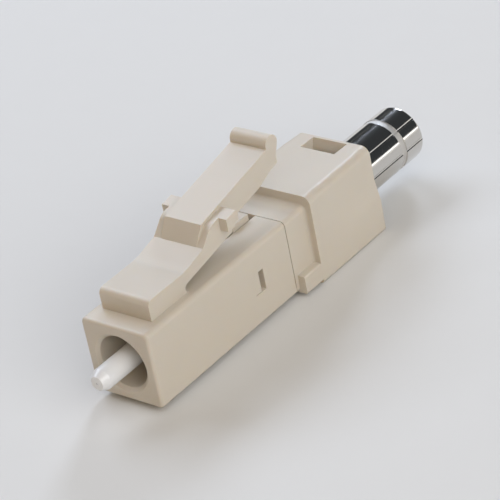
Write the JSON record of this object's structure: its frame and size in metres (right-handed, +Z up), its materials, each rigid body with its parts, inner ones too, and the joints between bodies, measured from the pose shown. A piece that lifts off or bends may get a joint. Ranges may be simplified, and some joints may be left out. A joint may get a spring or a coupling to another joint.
{
  "type": "lc fibre connector",
  "caption": "Small-form fibre plug with a push-down latch, a sprung ceramic ferrule in a square housing and a fluted metal crimp post.",
  "frame": {"origin": "where the ferrule's axis crosses the plug's front face", "axes": "+Y runs back along the ferrule's axis towards the crimp post, +Z is up on the latch's side, +X is to the right seen from the front, which is -Y"},
  "size_m": [0.0054, 0.0269, 0.0092],
  "materials": {
    "housing_plastic": "fine satin moulding, beige",
    "ferrule_ceramic": "ground white zirconia",
    "holder_metal": "turned, satin",
    "spring_steel": "drawn wire",
    "tube_plastic": "extruded, milky",
    "post_nickel": "bright nickel plate"
  },
  "bodies": {
    "housing": {"front_housing": "housing_plastic", "rear_housing": "housing_plastic", "crimp_post": "post_nickel", "spring": "spring_steel"},
    "latch": {"latch_arm": "housing_plastic"},
    "ferrule_assembly": {"ferrule": "ferrule_ceramic", "ferrule_holder": "holder_metal", "guide_tube": "tube_plastic"}
  },
  "joints": [
    {"name": "latch_press", "type": "hinge", "parent": "housing", "child": "latch", "pos_m": [0, 0.004, 0.00306], "axis": [-1, 0, 0], "range_deg": [0, 11], "stiffness_Nm_per_rad": 0.2},
    {"name": "ferrule_float", "type": "slide", "parent": "housing", "child": "ferrule_assembly", "axis": [0, 1, 0], "range_m": [0, 0.001], "stiffness_N_per_m": 1200, "deforming": ["spring"]}
  ]
}
